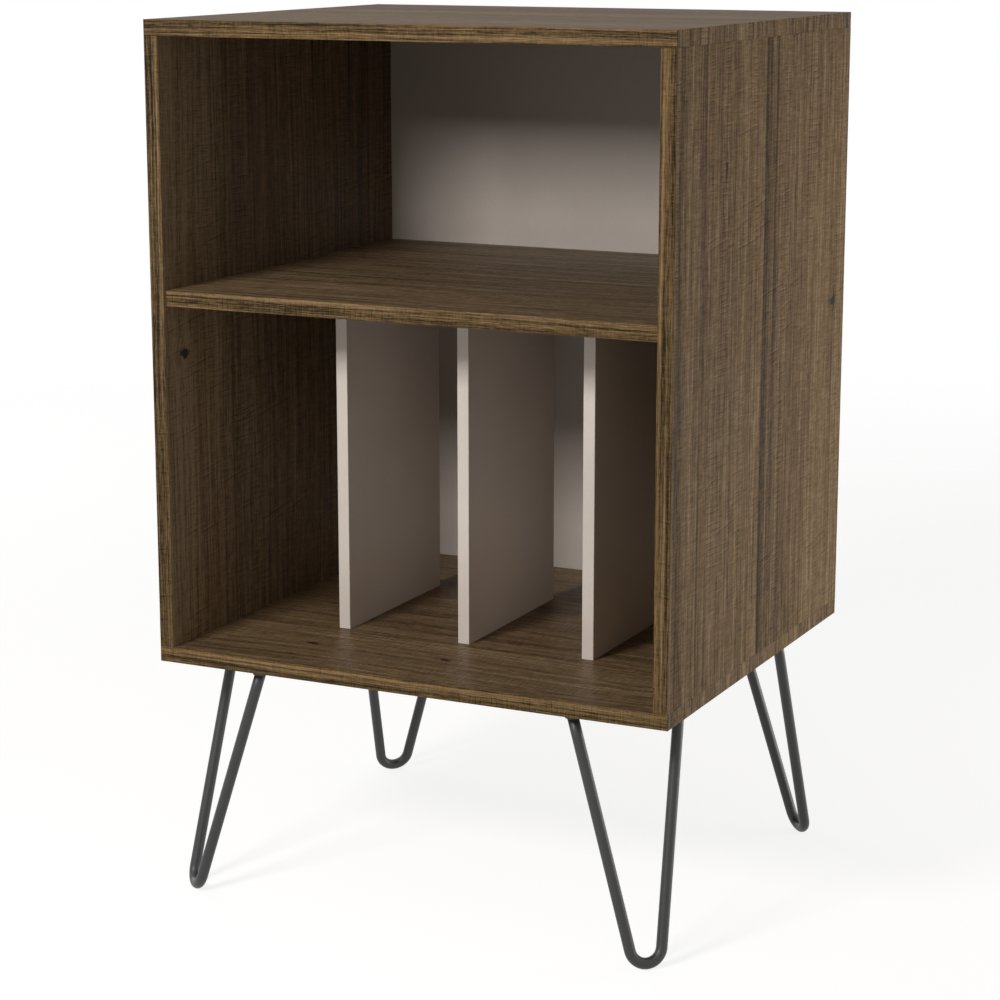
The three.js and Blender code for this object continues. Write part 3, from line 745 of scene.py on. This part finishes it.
def add_bottom_panel():
    low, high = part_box("bottom_panel")
    low, high = add_bands("bottom_panel", low, high, ["front"], "band", GRAIN_START["bottom_front"])
    low, high = add_bands("bottom_panel", low, high, ["left", "right"], "end_band",
                          GRAIN_START["bottom_ends"])
    mesh = board_mesh("bottom_board", low, high, "x", {"+y": 1, "+z": 2, "-z": 3},
                      GRAIN_START["bottom_board"], offsets={"+z": (0.0, 0.0)})
    for screws in (matching("base_screw"), matching("divider_screw")):
        mesh = countersink(mesh, screws)
    add_piece("bottom_board", mesh, "walnut_laminate",
              ["walnut", "chipboard", "walnut_floor", "walnut_outer"], ["bottom_panel"])


def countersink(mesh, screws):
    """Countersinks and bores the underside of a board for screws."""
    low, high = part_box(screws[0])
    head = (high.x - low.x) / 2 + SCREW_GAP
    shank = head / 2
    profile = [(0, -CUT_MARGIN), (head, -CUT_MARGIN), (head, SCREW_GAP), (shank, SCREW_GAP + head - shank),
               (shank, SCREW_BORE), (0, SCREW_BORE)]
    places = [node_foot(screw) for screw in screws]
    return cut(mesh, to_mesh(cone_stack(places, profile), "countersinks"))


def add_side(side, inner, outer, faces, mirrored):
    """A side panel, whose face towards +X has a set pattern. faces is as board_mesh takes it."""
    node = f"{side}_side_panel"
    low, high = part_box(node)
    low, high = add_bands(node, low, high, ["front"], "band", GRAIN_START[f"{side}_side_front"], mirrored)
    mesh = board_mesh(f"{side}_side_board", low, high, "z", faces, GRAIN_START[f"{side}_side_board"],
                      offsets={"+x": (0.0, 0.0)})
    add_piece(f"{side}_side_board", mesh, "walnut_laminate", [inner, "chipboard", outer], [node])


def add_shelf():
    low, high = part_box("middle_shelf")
    low, high = add_bands("middle_shelf", low, high, ["front"], "band", GRAIN_START["shelf_front"])
    mesh = board_mesh("shelf_board", low, high, "x", {"+y": 1}, GRAIN_START["shelf_board"])
    locks = matching("shelf_cam_lock")
    lock_low, lock_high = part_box(locks[0])
    radius = (lock_high.x - lock_low.x) / 2 + LOCK_GAP
    depth = lock_high.z - lock_low.z + 2 * LOCK_GAP
    profile = [(0, -CUT_MARGIN), (radius, -CUT_MARGIN), (radius, depth), (0, depth)]
    bores = cone_stack([node_foot(lock) for lock in locks], profile)
    mesh = cut(mesh, to_mesh(bores, "lock_bores"))
    add_piece("shelf_board", mesh, "walnut_laminate", ["walnut", "chipboard"], ["middle_shelf"])


def add_divider(where):
    node = f"{where}_divider"
    low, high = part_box(node)
    low, high = add_bands(node, low, high, ["front", "rear"], "pale", GRAIN_START[node])
    mesh = board_mesh(f"{where}_divider_board", low, high, "z", {}, GRAIN_START[node])
    add_piece(f"{where}_divider_board", mesh, "pale_laminate", ["pale"], [node])


def evenly(start, end, pitch):
    """Places from start to end, about a pitch apart."""
    count = round((end - start) / pitch)
    return [start + (end - start) * number / count for number in range(count + 1)]


def nail_places(low, high):
    """Nails along the back panel's edges and along the shelf's rear edge."""
    shelf_low, shelf_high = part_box("middle_shelf")
    left, right = low.x + NAIL_INSET, high.x - NAIL_INSET
    bottom, top = low.z + NAIL_INSET, high.z - NAIL_INSET
    middle = (shelf_low.z + shelf_high.z) / 2
    places = [(x, z) for z in (bottom, top, middle) for x in evenly(left, right, NAIL_PITCH)]
    for x in (left, right):
        for start, end in ((bottom, middle), (middle, top)):
            places += [(x, z) for z in evenly(start, end, NAIL_PITCH)[1:-1]]
    return [Vector((x, high.y, z)) for x, z in places]


def facing_back(places, profile, name, smooth=False):
    """Bodies turned about +Y at each place, from [radius, height] pairs listed towards +Y."""
    turn = Matrix.Rotation(-math.pi / 2, 4, "X")
    bm = cone_stack([turn.inverted() @ place for place in places], profile, NAIL_SIDES)
    bmesh.ops.transform(bm, matrix=turn, verts=bm.verts)
    return to_mesh(bm, name, smooth)


def add_back_panel():
    low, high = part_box("back_panel")
    mesh = board_mesh("back_board", low, high, "x", {"+y": 1, "+x": 1, "-x": 1, "+z": 1, "-z": 1},
                      GRAIN_START["back_board"])
    places = nail_places(low, high)
    mesh = cut(mesh, facing_back(places, in_mm(NAIL_DIMPLE), "dimples"))
    nails = facing_back(places, in_mm(NAIL_HEAD), "heads", smooth=True)
    add_piece("back_panel_nails", nails, "zinc_hardware", ["zinc"])
    add_piece("back_board", mesh, "pale_laminate", ["pale_back", "hardboard"], ["back_panel"])


# -------- hairpin legs
# A leg is made with the underside of the bottom panel at height 0, its rods side by side along X,
# and its foot leaning towards -Y.

HALF_SPREAD = ROD_SPREAD / 2
BEND_DOWN = (LEG_HEIGHT - ROD / 2) / math.cos(SPLAY) - BEND_RADIUS
TO_BEND = math.hypot(HALF_SPREAD, BEND_DOWN)
LEAN = math.atan2(HALF_SPREAD, BEND_DOWN) - math.asin(BEND_RADIUS / TO_BEND)
SHANK = math.sqrt(TO_BEND ** 2 - BEND_RADIUS ** 2)


def leaning(across, down):
    """A point of the leg's own flat plane, leant over."""
    return Vector((across, -down * math.sin(SPLAY), -down * math.cos(SPLAY)))


def rod_path():
    """Centre line from one rod end to the other, as (across, down) in the leg's plane."""
    half = []
    for number in range(SHANK_STEPS):
        run = ROD_START + (SHANK - ROD_START) * number / SHANK_STEPS
        half.append((HALF_SPREAD - run * math.sin(LEAN), run * math.cos(LEAN)))
    arc = []
    for number in range(BEND_STEPS + 1):
        angle = LEAN + (math.pi - 2 * LEAN) * number / BEND_STEPS
        arc.append((BEND_RADIUS * math.cos(angle), BEND_DOWN + BEND_RADIUS * math.sin(angle)))
    return half + arc + [(-across, down) for across, down in reversed(half)]


def skin(bm, rings, closed=False):
    """Quads between neighbouring rings of points, and from the last ring to the first where closed."""
    following = rings[1:] + rings[:1] if closed else rings[1:]
    for ring, after in zip(rings, following):
        for corner in range(len(ring)):
            beside = (corner + 1) % len(ring)
            bm.faces.new([ring[corner], ring[beside], after[beside], after[corner]])


def rod_mesh():
    points = [leaning(*place) for place in rod_path()]
    normal = Vector((0, -math.cos(SPLAY), math.sin(SPLAY)))
    bm = bmesh.new()
    rings = []
    for number, point in enumerate(points):
        before, after = points[max(number - 1, 0)], points[min(number + 1, len(points) - 1)]
        sideways = (after - before).normalized().cross(normal)
        ring = []
        for corner in range(ROD_SIDES):
            turn = 2 * math.pi * corner / ROD_SIDES
            offset = sideways * math.cos(turn) + normal * math.sin(turn)
            ring.append(bm.verts.new(point + offset * ROD / 2))
        rings.append(ring)
    skin(bm, rings)
    bm.faces.new(rings[0])
    bm.faces.new(rings[-1])
    return to_mesh(bm, "rod", smooth=True)


def rod_end(sign):
    """Centre of a rod where it meets the underside of the plate, and the rod's direction upwards."""
    down = PLATE / math.cos(SPLAY)
    across = sign * (HALF_SPREAD - down * math.tan(LEAN))
    upwards = Vector((sign * math.sin(LEAN), math.cos(LEAN) * math.sin(SPLAY),
                      math.cos(LEAN) * math.cos(SPLAY)))
    return leaning(across, down), upwards


def weld_mesh(sign):
    """A rippled weld bead round a rod, flat against the plate."""
    end, upwards = rod_end(sign)
    sideways = upwards.cross(Vector((0, 1, 0))).normalized()
    forwards = upwards.cross(sideways)

    def on_plate(point):
        """The point, slid along the rod to the plate's underside."""
        return point - upwards * (point.z - end.z) / upwards.z

    bm = bmesh.new()
    rings = []
    for step in range(WELD_STEPS):
        turn = 2 * math.pi * step / WELD_STEPS
        outward = sideways * math.cos(turn) + forwards * math.sin(turn)
        ring = []
        for layer in range(WELD_LAYERS + 1):
            share = layer / WELD_LAYERS
            swell = 1 + RIPPLE_SWELL * math.cos(WELD_RIPPLES * turn - RIPPLE_LAG * share)
            width = (WELD_WIDTH + WELD_BITE) * math.cos(share * math.pi / 2) * swell
            drop = WELD_DROP * math.sin(share * math.pi / 2) * swell
            foot = on_plate(end + outward * (ROD / 2 - WELD_BITE + width))
            ring.append(bm.verts.new(foot - upwards * drop))
        root = on_plate(end + outward * (ROD / 2 - WELD_ROOT))
        ring.append(bm.verts.new(root - upwards * WELD_ROOT_DROP))
        ring.append(bm.verts.new(root))
        rings.append(ring)
    skin(bm, rings, closed=True)
    return to_mesh(bm, "weld", smooth=True)


def arc_points(centre, radius, start, end, steps):
    turns = [start + (end - start) * number / steps for number in range(steps + 1)]
    return [centre + radius * Vector((math.cos(turn), math.sin(turn))) for turn in turns]


def plate_hole_centres():
    return [Vector((0, -PLATE_NOSE)), Vector((-PLATE_HOLE_SPREAD / 2, -PLATE_HOLE_OFFSET)),
            Vector((PLATE_HOLE_SPREAD / 2, -PLATE_HOLE_OFFSET))]


def plate_outline():
    left, right = rod_end(-1)[0], rod_end(1)[0]
    corners = [Vector((left.x, left.y)), Vector((0, -PLATE_NOSE)), Vector((right.x, right.y))]
    points = []
    for number, corner in enumerate(corners):
        before, after = corners[number - 1], corners[(number + 1) % len(corners)]
        into, out = corner - before, after - corner
        start = math.atan2(into.y, into.x) - math.pi / 2
        end = math.atan2(out.y, out.x) - math.pi / 2
        while end < start:
            end += 2 * math.pi
        radius = PLATE_MARGIN - PLATE_ROUNDING
        points += arc_points(corner, radius, start, end, PLATE_CORNER_STEPS)
    return points


def plate_mesh():
    """A flat plate with rounded edges and three screw holes, from a filled outline."""
    curve = bpy.data.curves.new("plate", "CURVE")
    curve.dimensions = "2D"
    curve.fill_mode = "BOTH"
    curve.extrude = PLATE / 2 - PLATE_ROUNDING
    curve.bevel_depth = PLATE_ROUNDING
    curve.bevel_resolution = PLATE_ROUND_STEPS
    outlines = [plate_outline()]
    for centre in plate_hole_centres():
        rim = arc_points(centre, PLATE_HOLE / 2 + PLATE_ROUNDING, 2 * math.pi, 0, HOLE_STEPS)
        outlines.append(rim[:-1])
    for outline in outlines:
        spline = curve.splines.new("POLY")
        spline.use_cyclic_u = True
        spline.points.add(len(outline) - 1)
        for point, place in zip(spline.points, outline):
            point.co = (place.x, place.y, 0, 1)
    holder = new_object("plate", curve)
    mesh = applied(holder)
    bpy.data.objects.remove(holder)
    bm = bmesh.new()
    bm.from_mesh(mesh)
    bmesh.ops.remove_doubles(bm, verts=bm.verts, dist=MERGE_DISTANCE)
    bmesh.ops.translate(bm, vec=(0, 0, -PLATE / 2), verts=bm.verts)
    return to_mesh(bm, "plate")


def cross_recess(radius, height, depth):
    """Cutter for a cross recess that opens downwards at the given height, tapering as it goes in."""
    bm = bmesh.new()
    for turn in (0, math.pi / 2):
        made = bmesh.ops.create_cube(bm, size=1.0)["verts"]
        for vertex in made:
            inside = vertex.co.z > 0
            reach, half = RECESS_FLOOR if inside else RECESS_MOUTH
            vertex.co.x *= 2 * reach * radius
            vertex.co.y *= 2 * half * radius
            vertex.co.z = height + (depth if inside else -RECESS_MARGIN)
        bmesh.ops.rotate(bm, verts=made, cent=(0, 0, 0), matrix=Matrix.Rotation(turn, 3, "Z"))
    return to_mesh(bm, "recess")


def fastener_mesh(profile, recess_radius, recess_depth):
    """A turned fastener with a cross recess in its lower end, which is at the profile's first height."""
    solid = to_mesh(cone_stack([Vector()], profile), "fastener")
    return cut(solid, cross_recess(recess_radius, profile[0][1], recess_depth))


def pan_screw_mesh(low, high):
    """A screw pointing upwards, whose pan head is against the underside of a leg plate."""
    radius = (high.x - low.x) / 2
    crown = -PLATE - PAN_HEIGHT
    tip = crown + high.z - low.z
    profile = [(share * radius, crown + height * MM) for share, height in PAN_CROWN]
    profile += [(radius, -PLATE), (PAN_SHANK, -PLATE), (PAN_SHANK, tip - PAN_TIP), (0, tip)]
    return fastener_mesh(profile, radius, PAN_RECESS)


def base_screw_mesh(low, high):
    """A countersunk screw pointing upwards, half as thick as its head."""
    radius = (high.x - low.x) / 2
    shank = radius / 2
    length = high.z - low.z
    profile = [(0, 0), (radius - SCREW_RIM, 0), (radius, SCREW_RIM), (shank, radius - shank + SCREW_RIM),
               (shank, length - 2 * shank), (0, length)]
    return fastener_mesh(profile, radius, SCREW_RECESS)


def cam_lock_mesh(low, high):
    radius = (high.x - low.x) / 2
    height = high.z - low.z
    profile = [(0, 0), (radius - LOCK_RIM, 0), (radius, LOCK_RIM), (radius, height - LOCK_RIM),
               (radius - LOCK_RIM, height), (0, height)]
    return fastener_mesh(profile, radius * LOCK_RECESS_SHARE, LOCK_RECESS)


def add_copies(nodes, make):
    """One detailed fastener for each node, standing where the node does."""
    pattern = make(*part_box(nodes[0]))
    for node in nodes:
        mesh = pattern.copy()
        foot = node_foot(node)
        foot.z -= min(vertex.co.z for vertex in pattern.vertices)
        mesh.transform(Matrix.Translation(foot))
        add_piece(f"{node}_detail", mesh, "zinc_hardware", ["zinc"], [node])


CORNERS = [      # name, which side of the middle in X and Y, inset from that edge in Y, turn in degrees
    ("front_left", -1, -1, LEG_INSET_FRONT, -45), ("front_right", 1, -1, LEG_INSET_FRONT, 45),
    ("rear_right", 1, 1, LEG_INSET_REAR, 135), ("rear_left", -1, 1, LEG_INSET_REAR, -135),
]


def add_legs():
    low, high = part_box("bottom_panel")
    parts = {"rod": rod_mesh(), "plate": plate_mesh()}
    welds = {"outer": weld_mesh(-1), "inner": weld_mesh(1)}
    for corner, x_side, y_side, inset, turn in CORNERS:
        edge = low.y if y_side < 0 else high.y
        place = Vector((x_side * (high.x - LEG_INSET_SIDE), edge - y_side * inset, low.z))
        matrix = Matrix.Translation(place) @ Matrix.Rotation(math.radians(turn), 4, "Z")
        for part, pattern in parts.items():
            mesh = pattern.copy()
            mesh.transform(matrix)
            node = f"{corner}_leg_{part}"
            add_piece(f"{corner}_{part}", mesh, "leg_paint", ["leg_paint"], [node])
        for which, pattern in welds.items():
            mesh = pattern.copy()
            mesh.transform(matrix)
            add_piece(f"{corner}_weld_{which}", mesh, "leg_paint", ["leg_paint"])


# -------- what stays as imported

def dress_hidden_nodes():
    """Dowels and cam bolts keep their solids and get a finished material."""
    for word, material in (("dowel", "beech"), ("cam_bolt", "zinc")):
        for node in matching(word):
            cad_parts[node].material_slots[0].material = MATERIALS[material]


# -------- stage, light and camera

FLOOR_RADIUS = 4.0
FLOOR_SIDES = 96
FLOOR_DROP = 0.02 * MM
FLOOR_FADE = (1.1, 3.2)        # distances between which the floor fades into the backdrop
FLOOR_COLOUR = srgb(214, 213, 211)
FLOOR_GRIT = srgb(220, 219, 217)
FLOOR_GLOW = 0.82              # what the camera sees besides the floor's own shading
FLOOR_SHARE = 0.55             # of the floor's own shading that the camera doesn't see


def seen_directly(tree):
    """1 for rays from the camera and for those seen in gloss or through glass."""
    light_path = tree.nodes.new("ShaderNodeLightPath")
    seen = light_path.outputs["Is Camera Ray"]
    for other in ("Is Glossy Ray", "Is Transmission Ray"):
        larger = tree.nodes.new("ShaderNodeMath")
        larger.operation = "MAXIMUM"
        tree.links.new(seen, larger.inputs[0])
        tree.links.new(light_path.outputs[other], larger.inputs[1])
        seen = larger.outputs[0]
    return seen


def floor_material():
    """A pale matt floor that keeps shadows, looks nearly white when seen, and fades out far away."""
    s = Shader("studio_floor")
    place = s.object_place()
    colour = s.mix(s.scaled(s.noise(place, 90, 20), 0.3), FLOOR_COLOUR, FLOOR_GRIT)
    s.finish(colour, 0.9, specular=0.1)
    seen = seen_directly(s.tree)
    glow = s.node("ShaderNodeEmission", {"Color": (1, 1, 1, 1), "Strength": s.scaled(seen, FLOOR_GLOW)})
    dark = s.node("ShaderNodeEmission", {"Color": (0, 0, 0, 1), "Strength": 0.0})
    shaded = s.node("ShaderNodeMixShader", {0: s.scaled(seen, FLOOR_SHARE), 1: s.surface.outputs[0],
                                            2: dark.outputs[0]})
    lit = s.node("ShaderNodeAddShader", {0: shaded.outputs[0], 1: glow.outputs[0]})
    clear = s.node("ShaderNodeBsdfTransparent", {})
    far = s.step(s.length(*s.split(place)), *FLOOR_FADE)
    faded = s.node("ShaderNodeMixShader", {0: far, 1: lit.outputs[0], 2: clear.outputs[0]})
    s.feed(s.tree.nodes["Material Output"].inputs["Surface"], faded.outputs[0])
    return s.material


def add_floor():
    bm = bmesh.new()
    bmesh.ops.create_circle(bm, cap_ends=True, segments=FLOOR_SIDES, radius=FLOOR_RADIUS)
    mesh = to_mesh(bm, "floor")
    mesh.materials.append(floor_material())
    floor = new_object("floor", mesh)
    floor.location.z = -FLOOR_DROP


def add_world():
    world = bpy.data.worlds.new("studio")
    world.use_nodes = True
    bpy.context.scene.world = world
    tree = world.node_tree
    ambient = tree.nodes["Background"]
    ambient.inputs["Color"].default_value = AMBIENT_COLOUR
    ambient.inputs["Strength"].default_value = AMBIENT
    backdrop = tree.nodes.new("ShaderNodeBackground")
    backdrop.inputs["Color"].default_value = (1, 1, 1, 1)
    backdrop.inputs["Strength"].default_value = 1.0
    both = tree.nodes.new("ShaderNodeMixShader")
    tree.links.new(seen_directly(tree), both.inputs[0])
    tree.links.new(ambient.outputs[0], both.inputs[1])
    tree.links.new(backdrop.outputs[0], both.inputs[2])
    tree.links.new(both.outputs[0], tree.nodes["World Output"].inputs["Surface"])


def add_area_light(name, place, target, width, height, power, colour):
    light = bpy.data.lights.new(name, "AREA")
    light.shape = "RECTANGLE"
    light.size = width
    light.size_y = height
    light.energy = power
    light.color = colour
    holder = new_object(name, light)
    holder.location = place
    holder.rotation_euler = (Vector(target) - Vector(place)).to_track_quat("-Z", "Y").to_euler()
    holder.visible_camera = False


def add_camera():
    camera = bpy.data.cameras.new("camera")
    camera.lens = CAMERA_LENS
    camera.sensor_width = CAMERA_SENSOR
    camera.clip_start = CAMERA_NEAR
    holder = new_object("camera", camera)
    holder.location = CAMERA_PLACE
    holder.rotation_euler = (math.pi / 2 - CAMERA_PITCH, 0, CAMERA_YAW)
    bpy.context.scene.camera = holder


# -------- assembly

add_camera()
add_world()
for name, settings in LIGHTS.items():
    add_area_light(name, *settings)
add_floor()
add_top_panel()
add_bottom_panel()
add_side("left", "walnut_left_inner", "walnut_outer", {"+y": 1, "-x": 2}, mirrored=False)
add_side("right", "walnut", "walnut_right", {"+y": 1, "+x": 2}, mirrored=True)
add_shelf()
for where in ("left", "centre", "right"):
    add_divider(where)
add_back_panel()
add_legs()
for word, make in (("_leg_screw_", pan_screw_mesh), ("base_screw", base_screw_mesh),
                   ("divider_screw", base_screw_mesh), ("shelf_cam_lock", cam_lock_mesh)):
    add_copies(matching(word), make)
dress_hidden_nodes()
bpy.context.scene.view_settings.view_transform = "Standard"
